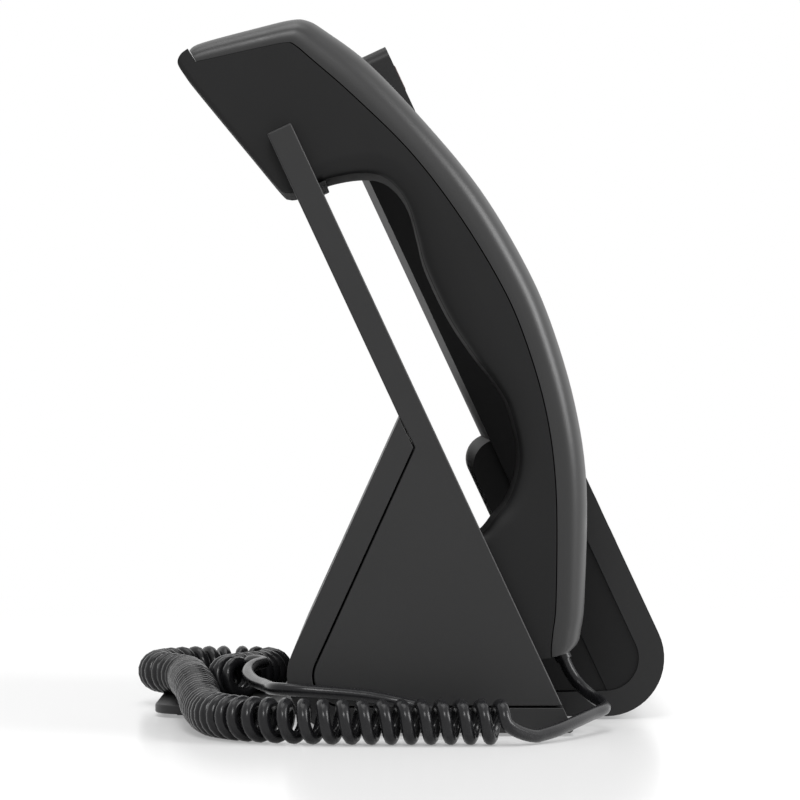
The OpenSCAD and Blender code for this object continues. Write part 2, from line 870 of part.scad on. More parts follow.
front_panel();
rear_shell();
rear_housing();
stand_fold();
cradle_plate();
inner_plate();
right_plate();
foot_plate();
rubber_feet();
earpiece_rest();
mouthpiece_rest();
screen_glass();
screen_module();
main_board();
key_mat();
loudspeaker();
message_lamp();
network_jacks();
handset_jack();
housing_screws();
for (i = [0 : 11])
    dial_key(i);
for (i = [0 : 3])
    soft_key(i);
side_key(0);  // volume_rocker
side_key(1);  // headset_key
side_key(2);  // mute_key
side_key(3);  // speaker_key
navigation_ring();
ok_key();
hook_switch();
handset_back();
handset_front();
receiver_capsule();
microphone_capsule();
handset_weight();
handset_screws();
handset_socket();
handset_plug();
handset_lead();
cord_coil();
base_lead();
base_plug();
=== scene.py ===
import json
import math

import bmesh
import bpy
from mathutils import Matrix, Vector
from mathutils.geometry import tessellate_polygon

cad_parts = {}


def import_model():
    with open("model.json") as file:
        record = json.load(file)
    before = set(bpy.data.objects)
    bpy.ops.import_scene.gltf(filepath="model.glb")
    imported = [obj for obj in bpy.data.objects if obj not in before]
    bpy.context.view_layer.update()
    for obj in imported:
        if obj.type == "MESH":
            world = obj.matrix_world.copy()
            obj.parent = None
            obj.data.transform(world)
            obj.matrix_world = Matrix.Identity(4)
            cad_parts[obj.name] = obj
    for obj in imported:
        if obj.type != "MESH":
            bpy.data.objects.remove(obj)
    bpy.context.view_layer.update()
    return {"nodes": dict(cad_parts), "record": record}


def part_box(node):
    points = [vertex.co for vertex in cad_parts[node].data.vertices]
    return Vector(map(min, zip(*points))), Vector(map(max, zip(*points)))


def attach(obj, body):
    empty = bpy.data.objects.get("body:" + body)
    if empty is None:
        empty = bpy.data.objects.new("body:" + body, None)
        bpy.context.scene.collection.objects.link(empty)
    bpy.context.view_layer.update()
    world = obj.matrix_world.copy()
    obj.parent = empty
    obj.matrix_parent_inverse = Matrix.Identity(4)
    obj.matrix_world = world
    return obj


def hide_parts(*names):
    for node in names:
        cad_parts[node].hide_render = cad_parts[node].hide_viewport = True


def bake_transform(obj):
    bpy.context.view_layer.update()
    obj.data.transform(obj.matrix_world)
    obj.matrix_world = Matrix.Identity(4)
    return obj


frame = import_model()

MM = 0.001
record = frame["record"]
slot_of = {row["node"]: row["material_slot"] for row in record["subparts"]}
body_of = {node: body for body, nodes in record["behaviour"]["bodies"].items() for node in nodes}

# The leaning front's own directions: x runs across, along runs up the slope, out is its normal.
LEAN = math.radians(25)
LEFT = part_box("cradle_plate")[0].x
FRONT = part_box("front_panel")[0].y
PANEL_OUT = 83.8 * MM
FRONT_FOLD_R = 18 * MM
FOLD_HEIGHT = 19 * MM
# How far in front of the origin's line the leaning frame starts
FORWARD = FRONT + FRONT_FOLD_R + (PANEL_OUT - FRONT_FOLD_R - FOLD_HEIGHT * math.sin(LEAN)) / math.cos(LEAN)
SLOPE = Matrix((
    (1, 0, 0, 0),
    (0, math.sin(LEAN), -math.cos(LEAN), FORWARD),
    (0, math.cos(LEAN), math.sin(LEAN), 0),
    (0, 0, 0, 1),
))


def on_slope(x, along, out):
    """A point of the leaning frame in the model's own frame, in metres."""
    return SLOPE @ Vector((x, along, out))


def slope_box(node):
    """A CAD node's lowest and highest corners in the leaning frame."""
    back = SLOPE.inverted()
    points = [back @ v.co for v in frame["nodes"][node].data.vertices]
    low = Vector([min(p[n] for p in points) for n in range(3)])
    high = Vector([max(p[n] for p in points) for n in range(3)])
    return low, high


# ---------- Shader maths ----------
class Wire:
    """A shader socket that takes part in ordinary arithmetic."""

    def __init__(self, graph, socket):
        self.graph = graph
        self.socket = socket

    def math(self, operation, other, swapped=False):
        pair = (other, self) if swapped else (self, other)
        return self.graph.node("Math", {"operation": operation}, {0: pair[0], 1: pair[1]})

    def __add__(self, other):
        return self.math("ADD", other)

    def __sub__(self, other):
        return self.math("SUBTRACT", other)

    def __rsub__(self, other):
        return self.math("SUBTRACT", other, swapped=True)

    def __mul__(self, other):
        return self.math("MULTIPLY", other)

    def __or__(self, other):
        return self.math("MAXIMUM", other)

    __radd__ = __add__
    __rmul__ = __mul__


class Graph:
    """A node tree that is written as expressions."""

    def __init__(self, tree):
        self.tree = tree

    def node(self, kind, settings=None, inputs=None, output=0):
        made = self.tree.nodes.new("ShaderNode" + kind)
        for label, value in (settings or {}).items():
            setattr(made, label, value)
        for label, value in (inputs or {}).items():
            self.feed(made.inputs[label], value)
        return Wire(self, made.outputs[output])

    def feed(self, socket, value):
        if isinstance(value, Wire):
            self.tree.links.new(value.socket, socket)
        else:
            socket.default_value = value

    def seen_rays(self):
        """One where a ray comes straight from the camera, or through gloss or glass."""
        path = self.node("LightPath").socket.node.outputs
        camera_ray, glossy, through = (
            Wire(self, path[label]) for label in ("Is Camera Ray", "Is Glossy Ray", "Is Transmission Ray")
        )
        return camera_ray | glossy | through


class Finish(Graph):
    """A material whose Principled shader takes constants on its own sockets and wires where it varies."""

    def __init__(self, name, **constants):
        self.material = bpy.data.materials.new(name)
        self.material.use_nodes = True
        super().__init__(self.material.node_tree)
        self.shader = self.tree.nodes["Principled BSDF"]
        for label, value in constants.items():
            socket = self.shader.inputs[label.replace("_", " ")]
            socket.default_value = (*value, 1) if isinstance(value, tuple) and len(value) == 3 else value

    def set(self, label, value):
        self.feed(self.shader.inputs[label], value)

    def place(self):
        return self.node("TexCoord", output="Object")

    def noise(self, size, detail=2.0, rough=0.5, where=None):
        """Noise with features of about that size in metres."""
        inputs = {"Vector": where or self.place(), "Scale": 1 / size, "Detail": detail, "Roughness": rough}
        return self.node("TexNoise", inputs=inputs)

    def fade(self, value, low, high):
        """Nought below low, one above high and smooth between."""
        settings = {"interpolation_type": "SMOOTHSTEP"}
        return self.node("MapRange", settings, {"Value": value, "From Min": low, "From Max": high})

    def tint(self, factor, dark, light):
        inputs = {"Factor": factor, 6: (*dark, 1), 7: (*light, 1)}
        return self.node("Mix", {"data_type": "RGBA"}, inputs, output=2)

    def bump(self, height, depth, strength=1.0):
        normal = self.node("Bump", inputs={"Height": height, "Distance": depth, "Strength": strength})
        self.set("Normal", normal)


def moulded(name, shade, rough, grain=0.00035, depth=0.00002, specular=0.35, spread=0.08):
    """Spark-textured moulded plastic: fine grain, faint cloudiness and a few handling marks.

    shade is its grey, grain and depth are the texture's size and height in metres, and spread
    is how much its roughness wanders.
    """
    finish = Finish(name, Specular_IOR_Level=specular)
    clouds = finish.noise(0.03, 3.0)
    speck = finish.noise(grain, 2.0, 0.6)
    rubbed = finish.fade(finish.noise(0.011, 5.0, 0.65), 0.55, 0.75)
    finish.set("Base Color", finish.tint(
        clouds * 0.6 + speck * 0.4,
        (shade * 0.75, shade * 0.75, shade * 0.78),
        (shade * 1.25, shade * 1.25, shade * 1.29),
    ))
    finish.set("Roughness", rough + (clouds - 0.5) * spread + (speck - 0.5) * spread - rubbed * 0.05)
    finish.bump(speck, depth)
    return finish.material


def cord_finish():
    """Glossy vinyl with fine drawing marks."""
    finish = Finish("cord_vinyl", Specular_IOR_Level=0.2, Coat_Roughness=0.08)
    clouds = finish.noise(0.012, 2.0)
    drawn = finish.noise(0.0016, 3.0)
    finish.set("Base Color", finish.tint(clouds, (0.006, 0.006, 0.007), (0.013, 0.013, 0.014)))
    finish.set("Roughness", 0.2 + clouds * 0.08 + drawn * 0.06)
    finish.set("Coat Weight", 0.04 + clouds * 0.08)
    finish.bump(drawn, 0.00003, 0.5)
    return finish.material


def rubber_finish():
    """Dull, gritty rubber for the feet."""
    finish = Finish("foot_rubber", Specular_IOR_Level=0.3)
    grain = finish.noise(0.0006, 4.0, 0.7)
    finish.set("Base Color", finish.tint(grain, (0.01, 0.01, 0.01), (0.022, 0.022, 0.022)))
    finish.set("Roughness", 0.75 + grain * 0.15)
    finish.bump(grain, 0.00005)
    return finish.material


def glass_finish():
    """Dark glass over a screen that is off, with a faint haze."""
    finish = Finish("screen_glass", Specular_IOR_Level=0.25, Coat_Roughness=0.02)
    haze = finish.noise(0.02, 3.0)
    finish.set("Base Color", finish.tint(haze, (0.004, 0.005, 0.007), (0.008, 0.009, 0.012)))
    finish.set("Roughness", 0.05 + haze * 0.05)
    return finish.material


def lamp_finish():
    """The message lamp's window: red plastic with small cells, unlit."""
    finish = Finish("lamp_window", Specular_IOR_Level=0.3)
    cells = finish.noise(0.0012, 1.0)
    finish.set("Base Color", finish.tint(cells, (0.03, 0.004, 0.004), (0.05, 0.007, 0.006)))
    finish.set("Roughness", 0.18 + cells * 0.1)
    finish.bump(cells, 0.00003)
    return finish.material


def ink_finish():
    """Pale key marks, a little worn."""
    finish = Finish("key_print", Specular_IOR_Level=0.4)
    wear = finish.noise(0.0009, 3.0)
    finish.set("Base Color", finish.tint(wear, (0.5, 0.5, 0.51), (0.66, 0.66, 0.67)))
    finish.set("Roughness", 0.42 + wear * 0.15)
    return finish.material


def metal_finish(name, shade, rough):
    """Finely brushed metal."""
    finish = Finish(name, Metallic=1.0)
    brushed = finish.noise(0.0005, 4.0)
    finish.set("Base Color", finish.tint(brushed, (shade * 0.8,) * 3, (shade,) * 3))
    finish.set("Roughness", rough + brushed * 0.2)
    finish.bump(brushed, 0.00001)
    return finish.material


def board_finish():
    """Green lacquer with darker tracks."""
    finish = Finish("board_lacquer", Coat_Weight=0.4)
    tracks = finish.node("TexVoronoi", {"distance": "CHEBYCHEV"}, {"Vector": finish.place(), "Scale": 180})
    finish.set("Base Color", finish.tint(tracks, (0.01, 0.09, 0.035), (0.02, 0.16, 0.06)))
    finish.set("Roughness", 0.35 + tracks * 0.15)
    return finish.material


FINISHES = {
    "panel_plastic": moulded("panel_plastic", 0.008, 0.42, specular=0.3),
    "stand_plastic": moulded("stand_plastic", 0.009, 0.46, specular=0.36),
    "dark_plastic": moulded("dark_plastic", 0.005, 0.62, specular=0.2),
    "handset_plastic": moulded("handset_plastic", 0.006, 0.44, grain=0.0003, depth=0.000015, specular=0.2),
    "handset_crown": moulded("handset_crown", 0.006, 0.42, grain=0.0003, depth=0.000015, specular=0.5),
    # The grip's inner faces: a rougher texture, and a darker colour with weaker reflection as painted shade
    "handset_inside_painted_shade": moulded("handset_inside_painted_shade", 0.005, 0.7, grain=0.0005, depth=0.00003, specular=0.1),
    "key_plastic": moulded("key_plastic", 0.014, 0.36, grain=0.0003, depth=0.00001, specular=0.45),
    "rubber": rubber_finish(),
    "rubber_mat": moulded("mat_rubber", 0.09, 0.7),
    "screen_glass": glass_finish(),
    "module_metal": metal_finish("module_metal", 0.5, 0.3),
    "board": board_finish(),
    # The capsule is made nearly black, darker than bare metal, so that the openings in front of it read as
    # shaded: painted shade
    "capsule_metal": metal_finish("capsule_metal", 0.06, 0.5),
    "lamp": lamp_finish(),
    "screw_steel": metal_finish("screw_steel", 0.6, 0.25),
    "cord_black": cord_finish(),
}
INK = ink_finish()


# ---------- Mesh helpers ----------
SAME_POINT = 1e-7


def smooth_by_angle(mesh, degrees=32):
    """Smooth shading, with edges that turn more than this kept sharp."""
    mesh.shade_smooth()
    mesh.set_sharp_from_angle(angle=math.radians(degrees))


def new_piece(name, mesh, slot, body=None, finish=None):
    """An object of its own with its slot's finish or another, and the body that it rides on."""
    obj = bpy.data.objects.new(name, mesh)
    bpy.context.collection.objects.link(obj)
    mesh.materials.clear()
    mesh.materials.append(finish or FINISHES[slot])
    if body:
        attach(obj, body)
    return obj


def solved(obj):
    """Turns an object's modifiers into its plain mesh."""
    bpy.context.view_layer.update()
    graph = bpy.context.evaluated_depsgraph_get()
    mesh = bpy.data.meshes.new_from_object(obj.evaluated_get(graph))
    obj.modifiers.clear()
    old = obj.data
    obj.data = mesh
    bpy.data.meshes.remove(old)
    return obj


def mesh_of(bm, name):
    """A mesh from the faces drawn so far, with stray copies of points merged and normals outward."""
    bmesh.ops.remove_doubles(bm, verts=bm.verts, dist=SAME_POINT)
    bmesh.ops.recalc_face_normals(bm, faces=bm.faces)
    mesh = bpy.data.meshes.new(name)
    bm.to_mesh(mesh)
    bm.free()
    return mesh


def bevel(obj, width, segments, degrees=32):
    """Rounds the edges that turn more than this."""
    tool = obj.modifiers.new("edges", "BEVEL")
    tool.width = width
    tool.segments = segments
    tool.limit_method = "ANGLE"
    tool.angle_limit = math.radians(degrees)
    tool.use_clamp_overlap = True


def level_faces(obj):
    """Big flat faces keep their own normals, and only the rounded edges turn between them."""
    tool = obj.modifiers.new("level", "WEIGHTED_NORMAL")
    tool.mode = "FACE_AREA"
    tool.weight = 100
    tool.keep_sharp = True


# Two CAD facets that turn less than this belong to one flat face
NEARLY_FLAT = math.radians(0.6)
CAD_SAME_POINT = 2e-6


def softened(node, width, segments, cutters=()):
    """A copy of a CAD node with its sharp edges rounded, which then stands for it."""
    bm = bmesh.new()
    bm.from_mesh(frame["nodes"][node].data)
    bmesh.ops.remove_doubles(bm, verts=bm.verts, dist=CAD_SAME_POINT)
    bmesh.ops.dissolve_limit(bm, angle_limit=NEARLY_FLAT, verts=bm.verts, edges=bm.edges)
    mesh = bpy.data.meshes.new(node + "_finished")
    bm.to_mesh(mesh)
    bm.free()
    obj = new_piece(node + "_finished", mesh, slot_of[node])
    bevel(obj, width, segments)
    cut_with(obj, cutters)
    solved(obj)
    smooth_by_angle(obj.data, 40)
    level_faces(obj)
    solved(obj)
    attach(obj, body_of[node])
    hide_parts(node)
    return obj


def cut_with(obj, cutters):
    """Takes the cutters' shapes out of a piece once its modifiers are solved, the same way in every run."""
    for cutter in cutters:
        tool = obj.modifiers.new("cut", "BOOLEAN")
        tool.operation = "DIFFERENCE"
        tool.solver = "MANIFOLD"
        tool.object = cutter


# ---------- Repeating shapes ----------
def link(tree, source, output, target, socket):
    tree.links.new(source.outputs[output], target.inputs[socket])


def pattern_tree():
    """Rows and columns of one small shape, kept inside an oval: sound holes and air slots."""
    tree = bpy.data.node_groups.new("rows_of_openings", "GeometryNodeTree")
    ends = tree.interface
    ends.new_socket("Geometry", in_out="OUTPUT", socket_type="NodeSocketGeometry")
    for label, kind in (("Width", "Float"), ("Height", "Float"), ("Columns", "Int"), ("Rows", "Int"),
                        ("Oval", "Float"), ("Size", "Vector"), ("Sides", "Int"), ("Finish", "Material")):
        ends.new_socket(label, in_out="INPUT", socket_type="NodeSocket" + kind)
    make = tree.nodes.new
    given = make("NodeGroupInput")
    grid = make("GeometryNodeMeshGrid")
    link(tree, given, "Width", grid, "Size X")
    link(tree, given, "Height", grid, "Size Y")
    link(tree, given, "Columns", grid, "Vertices X")
    link(tree, given, "Rows", grid, "Vertices Y")
    place = make("GeometryNodeInputPosition")
    far = make("ShaderNodeVectorMath")
    far.operation = "LENGTH"
    link(tree, place, "Position", far, 0)
    outside = make("FunctionNodeCompare")
    outside.operation = "GREATER_THAN"
    link(tree, far, "Value", outside, "A")
    link(tree, given, "Oval", outside, "B")
    kept = make("GeometryNodeDeleteGeometry")
    link(tree, grid, "Mesh", kept, "Geometry")
    link(tree, outside, "Result", kept, "Selection")
    shape = make("GeometryNodeMeshCylinder")
    shape.inputs["Radius"].default_value = 0.5
    shape.inputs["Depth"].default_value = 1
    link(tree, given, "Sides", shape, "Vertices")
    turn = make("GeometryNodeTransform")
    link(tree, shape, "Mesh", turn, "Geometry")
    turn.inputs["Rotation"].default_value = (0, 0, math.pi / 4)
    spread = make("GeometryNodeInstanceOnPoints")
    link(tree, kept, "Geometry", spread, "Points")
    link(tree, turn, "Geometry", spread, "Instance")
    link(tree, given, "Size", spread, "Scale")
    real = make("GeometryNodeRealizeInstances")
    link(tree, spread, "Instances", real, "Geometry")
    paint = make("GeometryNodeSetMaterial")
    link(tree, real, "Geometry", paint, "Geometry")
    link(tree, given, "Finish", paint, "Material")
    link(tree, paint, "Geometry", make("NodeGroupOutput"), "Geometry")
    return tree


PATTERN = pattern_tree()


def openings(name, place, **sizes):
    """Cutters in rows, put where place says. They cut a piece and then go."""
    mesh = bpy.data.meshes.new(name)
    obj = bpy.data.objects.new(name, mesh)
    bpy.context.collection.objects.link(obj)
    tool = obj.modifiers.new("pattern", "NODES")
    tool.node_group = PATTERN
    for item in PATTERN.interface.items_tree:
        if item.in_out == "INPUT" and item.name in sizes:
            tool[item.identifier] = sizes[item.name]
    solved(obj)
    obj.data.transform(place)
    obj.data.update()
    return obj


def drop(*objects):
    """Removes cutters that have done their work."""
    for obj in objects:
        bpy.data.objects.remove(obj)


# ---------- Camera, floor and light ----------
CAMERA_AWAY = 1.267
CAMERA_HEIGHT = 0.1013


def camera():
    """A long lens that looks level at the left side, square on."""
    data = bpy.data.cameras.new("camera")
    data.lens = 193.9
    data.sensor_width = 36
    data.shift_y = -0.01
    obj = bpy.data.objects.new("camera", data)
    obj.location = (LEFT - CAMERA_AWAY, FORWARD, CAMERA_HEIGHT)
    obj.rotation_euler = (math.pi / 2, 0, -math.pi / 2)
    bpy.context.collection.objects.link(obj)
    bpy.context.scene.camera = obj


def softbox(name, place, aim, side, power):
    """A square light of that side in metres and power in watts."""
    data = bpy.data.lights.new(name, "AREA")
    data.shape = "RECTANGLE"
    data.size = side
    data.size_y = side
    data.energy = power
    obj = bpy.data.objects.new(name, data)
    obj.location = place
    obj.rotation_euler = (Vector(aim) - Vector(place)).to_track_quat("-Z", "Y").to_euler()
    bpy.context.collection.objects.link(obj)


FLOOR_HALF = 12
FLOOR_NEAR_WHITE = 0.3
FLOOR_FADES_FROM = 0.28
FLOOR_WHITE_FROM = 0.75


def floor():
    """A pale floor that keeps the shadow near the telephone and turns plain white further off."""
    mesh = bpy.data.meshes.new("floor")
    corners = [(x * FLOOR_HALF, y * FLOOR_HALF, 0) for x, y in ((-1, -1), (1, -1), (1, 1), (-1, 1))]
    mesh.from_pydata(corners, [], [(0, 1, 2, 3)])
    obj = bpy.data.objects.new("floor", mesh)
    bpy.context.collection.objects.link(obj)
    finish = Finish("floor_white", Base_Color=(0.88, 0.88, 0.88), Roughness=0.2, Specular_IOR_Level=0.2)
    distance = finish.node("VectorMath", {"operation": "LENGTH"}, {0: finish.place()}, output="Value")
    far = finish.fade(distance, FLOOR_FADES_FROM, FLOOR_WHITE_FROM)
    white = finish.node("Emission", inputs={"Strength": 1.0})
    body = Wire(finish, finish.shader.outputs[0])
    factor = (FLOOR_NEAR_WHITE + far * (1 - FLOOR_NEAR_WHITE)) * finish.seen_rays()
    mixed = finish.node("MixShader", inputs={0: factor, 1: body, 2: white})
    finish.feed(finish.tree.nodes["Material Output"].inputs["Surface"], mixed)
    mesh.materials.append(finish.material)


SKY_SEEN = 1.0
SKY_FILL = 0.45


def world():
    """White where it is seen or mirrored, and dimmer as a fill light."""
    sky = bpy.data.worlds.new("studio")
    bpy.context.scene.world = sky
    sky.use_nodes = True
    sky.node_tree.nodes.clear()
    graph = Graph(sky.node_tree)
    seen = graph.node("Background", inputs={"Color": (1, 1, 1, 1), "Strength": SKY_SEEN})
    fill = graph.node("Background", inputs={"Color": (1, 1, 1, 1), "Strength": SKY_FILL})
    mixed = graph.node("MixShader", inputs={0: graph.seen_rays(), 1: fill, 2: seen})
    out = sky.node_tree.nodes.new("ShaderNodeOutputWorld")
    graph.feed(out.inputs["Surface"], mixed)


def studio():
    floor()
    world()
    softbox("side", place=(-1.3, 0.1, 1.1), aim=(0, 0, 0.05), side=0.4, power=10)
    softbox("front", place=(-0.4, -1.5, 0.8), aim=(0, 0, 0.1), side=0.9, power=26)
    softbox("top", place=(0.1, 0.1, 1.7), aim=(0, 0, 0), side=1.2, power=12)
    bpy.context.scene.view_settings.view_transform = "Standard"


# ---------- Cord ----------
WIRE_D = 3.8 * MM
COIL_D = 13.4 * MM
TURN_R = (COIL_D - WIRE_D) / 2
FOOT_PLATE_TOP = 4.1 * MM
# From here to BASE_ROUTE all lengths are in mm. The coil's middle rides at PLATE_Z on the foot plate
# and at COIL_Z on the floor.
PLATE_Z = (FOOT_PLATE_TOP + COIL_D / 2) / MM + 0.1
COIL_Z = COIL_D / 2 / MM + 0.05
CRADLE_MIDDLE = 33
PLUG_X = LEFT / MM + CRADLE_MIDDLE
PLUG_END = on_slope(PLUG_X * MM, -2.25 * MM, 53.6 * MM) / MM
DOWN = Vector((0, -math.sin(LEAN), -math.cos(LEAN)))
JACK_Y = FORWARD / MM - 20
JACK_Z = 4.7
HANDSET_ROUTE = [
    PLUG_END, PLUG_END + 4 * DOWN, (-81, -51.5, 13), (-84, -55.5, 9.6), (-90, -58, 8),
    (-98, -58, 7), (-108, -54, 6.2), (-120, -49, 5), (-132, -43, 3.4), (-141, -37, 2.4),
]
COIL_ROUTE = [
    (-145, -29, COIL_Z), (-145, -20, COIL_Z), (-145, -4, COIL_Z), (-145, 12, COIL_Z), (-143, 27, COIL_Z),
    (-139, 38, COIL_Z), (-132, 48, COIL_Z), (-121, 55, COIL_Z), (-107, 59, COIL_Z), (-88, 62, 7.8),
    (-68, 64, 9.6), (-52, 66, PLATE_Z), (-34, 68, PLATE_Z), (-12, 70, PLATE_Z), (0, 74, PLATE_Z),
    (10, 79, PLATE_Z), (22, 81, PLATE_Z), (34, 77, PLATE_Z), (41, 68, PLATE_Z), (43, 56, PLATE_Z),
    (36, 46, PLATE_Z), (24, 45, PLATE_Z), (12, 50, PLATE_Z), (2, 56, PLATE_Z), (-10, 57, PLATE_Z),
    (-19, 51, PLATE_Z), (-20.5, 46, PLATE_Z),
]
BASE_ROUTE = [
    (-29, 45.5, 16.4), (-38, 48.5, 16), (-50, 49.5, 14.6), (-66, 47, 13.2), (-84, 43, 13),
    (-100, 41, 13.4), (-108.5, 40.8, 13.9), (-115.3, 38, 14.1), (-118.3, 30.5, 13.8), (-118.3, 14, 12.4),
    (-118.3, 4, 10.6), (-120, -4, 8.8), (-124, -11, 7), (-126.5, -15.5, 5.6), (-124, JACK_Y, 4.9),
    (-119, JACK_Y, JACK_Z), (LEFT / MM - 3, JACK_Y, JACK_Z),
]


def curve_through(points, steps):
    """A smooth line through the points, with that many steps between each pair."""
    p = [Vector(q) for q in points]
    line = []
    for i in range(len(p) - 1):
        a, b, c, d = p[max(i - 1, 0)], p[i], p[i + 1], p[min(i + 2, len(p) - 1)]
        for j in range(steps):
            s = j / steps
            line.append(0.5 * (2 * b + (c - a) * s + (2 * a - 5 * b + 4 * c - d) * s * s
                               + (3 * b - a - 3 * c + d) * s ** 3))
    line.append(p[-1])
    return line


def bridge(start, start_way, end, end_way, steps):
    """A smooth stretch between two ends, each with the way that it heads."""
    line = []
    for j in range(1, steps):
        s = j / steps
        line.append((2 * s ** 3 - 3 * s * s + 1) * start + (s ** 3 - 2 * s * s + s) * start_way
                    + (3 * s * s - 2 * s ** 3) * end + (s ** 3 - s * s) * end_way)
    return line


def frames_along(line):
    """For each point: its direction and two sideways vectors that don't twist."""
    ways = [(line[min(i + 1, len(line) - 1)] - line[max(i - 1, 0)]).normalized() for i in range(len(line))]
    up = Vector((0, 0, 1)) if abs(ways[0].z) < 0.9 else Vector((0, 1, 0))
    up = (up - up.dot(ways[0]) * ways[0]).normalized()
    result = []
    for way in ways:
        up = (up - up.dot(way) * way).normalized()
        result.append((way, up, up.cross(way)))
    return result


PULLED_PITCH = 5.6 * MM
RELAXED_PITCH = 4.0 * MM
PULLED_UNTIL = 68 * MM
RELAXED_FROM = 84 * MM
# On the inside of a bend, neighbouring turns stay this many wire widths apart, middle to middle
TURN_GAP = 1.03
# A sharp bend counts as if it left this part of the spacing on its inside
LEAST_SPREAD = 0.3


def wanted_pitch(gone):
    """The turns stand apart where the cord is pulled and close up further along."""
    part = min(1, max(0, (gone - PULLED_UNTIL) / (RELAXED_FROM - PULLED_UNTIL)))
    return PULLED_PITCH + (RELAXED_PITCH - PULLED_PITCH) * part


def helix_points(per_turn=18):
    """The curly stretch: turns wound round its route, set apart where the route bends."""
    line = [q * MM for q in curve_through(COIL_ROUTE, 24)]
    axes = frames_along(line)
    gone = 0.0
    turns = [0.0]
    for i in range(1, len(line)):
        step = (line[i] - line[i - 1]).length
        gone += step
        bend = axes[i][0].angle(axes[i - 1][0]) / step
        room = max(LEAST_SPREAD, 1 - TURN_R * bend)
        pitch = max(wanted_pitch(gone), TURN_GAP * WIRE_D / room)
        turns.append(turns[-1] + step / pitch)
    whole = math.floor(turns[-1])
    turns = [t * whole / turns[-1] for t in turns]
    points = []
    count = int(whole * per_turn)
    at = 0
    for k in range(count + 1):
        wanted = whole * k / count
        while at < len(turns) - 2 and turns[at + 1] < wanted:
            at += 1
        s = (wanted - turns[at]) / (turns[at + 1] - turns[at])
        centre = line[at].lerp(line[at + 1], s)
        way, up, side = (axes[at][n].lerp(axes[at + 1][n], s).normalized() for n in range(3))
        angle = math.pi - 2 * math.pi * wanted
        points.append(centre + TURN_R * (math.cos(angle) * up + math.sin(angle) * side))
    return points


def tube_mesh(name, line, radius, sides):
    """A round tube along the line, closed at both ends."""
    bm = bmesh.new()
    rings = []
    for centre, (way, up, side) in zip(line, frames_along(line)):
        rings.append([
            bm.verts.new(centre + radius * (math.cos(2 * math.pi * j / sides) * up
                                            + math.sin(2 * math.pi * j / sides) * side))
            for j in range(sides)
        ])
    for a, b in zip(rings, rings[1:]):
        for j in range(sides):
            k = (j + 1) % sides
            bm.faces.new((a[j], a[k], b[k], b[j]))
    bm.faces.new(rings[0])
    bm.faces.new(rings[-1])
    mesh = mesh_of(bm, name)
    smooth_by_angle(mesh, 60)
    return mesh


def heading(line, at):
    """The way a line runs at one of its points, by index from either end."""
    if at < 0:
        return (line[at] - line[at - 1]).normalized()
    return (line[at + 1] - line[at]).normalized()


# Points dropped from each end of the coil, where the bridges to the leads take their place
LEAD_IN = 5
LEAD_OUT = 10
ENTRY_REACH = 9 * MM
LEAVE_REACH = 12 * MM
TUBE_SIDES = 12


def cord():
    """The whole cord as one tube: handset lead, coil and base lead, with smooth bridges between."""
    turns = helix_points()[LEAD_IN:-LEAD_OUT]
    first = [q * MM for q in curve_through(HANDSET_ROUTE, 8)]
    last = [q * MM for q in curve_through(BASE_ROUTE, 8)]
    entry = bridge(first[-1], heading(first, -1) * ENTRY_REACH, turns[0], heading(turns, 0) * ENTRY_REACH, 8)
    leave = bridge(turns[-1], heading(turns, -1) * LEAVE_REACH, last[0], heading(last, 0) * LEAVE_REACH, 9)
    joined = first + entry + turns + leave + last
    obj = new_piece("curly_cord", tube_mesh("curly_cord", joined, WIRE_D / 2, TUBE_SIDES), "cord_black")
    length = sum((b - a).length for a, b in zip(joined, joined[1:]))
    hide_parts("handset_lead", "cord_coil", "base_lead")
    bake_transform(obj)


# ---------- Handset ----------
HAND_W = 50 * MM
HAND_X = LEFT + CRADLE_MIDDLE * MM
# Stations from the earpiece's tip to the chin: seam point, then back point, as (along, out) in mm.
BACK_STATIONS = [
    ((206.0, 29.2), (211.0, 28.95)), ((205.0, 33.5), (211.5, 33.2)), ((201.6, 49), (208.4, 51)),
    ((199.9, 55.5), (206.4, 60.6)), ((198.3, 57.8), (204.2, 64.8)), ((191.5, 61), (199.5, 68.2)),
    ((178, 67), (184.5, 76.2)), ((156, 75.3), (160, 84.4)), ((134, 80.4), (136.3, 90.4)),
    ((111, 83.2), (112, 93)), ((93, 83.2), (92, 92.7)), ((69, 79.7), (66.5, 88.9)),
    ((46, 72.4), (42.5, 81.6)), ((17, 58.9), (12.5, 66.9)), ((8, 53.6), (4.2, 61.8)),
    ((3.9, 51.2), (1.5, 59.6)), ((1.6, 50.2), (0.4, 56.8)),
]
# Inner side of the front shell from chin to earpiece tip: along, out and the radius of its rim, in mm.
INNER_SIDE = [
    (1.4, 47, 1.2), (1.7, 42, 1.1), (2.2, 36, 1), (2.8, 33.9, 0.8), (4, 32.9, 0.8), (6, 32.9, 1),
    (20, 34.8, 1.6), (34, 36.7, 1.8), (39, 37.4, 2), (41.6, 38.6, 2.2), (42.6, 41, 2.6), (43.6, 47.6, 4),
    (46, 52.4, 5), (48.6, 57.6, 6), (52, 61.6, 6.5), (57, 65.6, 6.8), (62, 67.9, 7), (68, 69.4, 7.2),
    (75.5, 70.4, 7.5), (83, 69.5, 8), (92, 67.4, 9), (106, 65.3, 10.5), (122, 65.2, 11), (131, 66.8, 9.6),
    (140, 68.3, 7.8), (147, 67.6, 6.8), (152.6, 64.5, 6.5), (156, 58.5, 6.2), (158.2, 50, 5.5),
    (158.4, 43, 4), (158.6, 39.4, 2), (159.6, 37, 1), (162, 35.5, 1.2), (175, 32.1, 1.6), (190, 28.2, 1.6),
    (203, 24.9, 1.6), (206.6, 24.2, 1.6), (208.6, 24.6, 1.4), (210, 26.4, 1), (210.5, 28.8, 0.4),
]
# The fine gap between the two shells, in mm
SEAM_GAP = 0.16


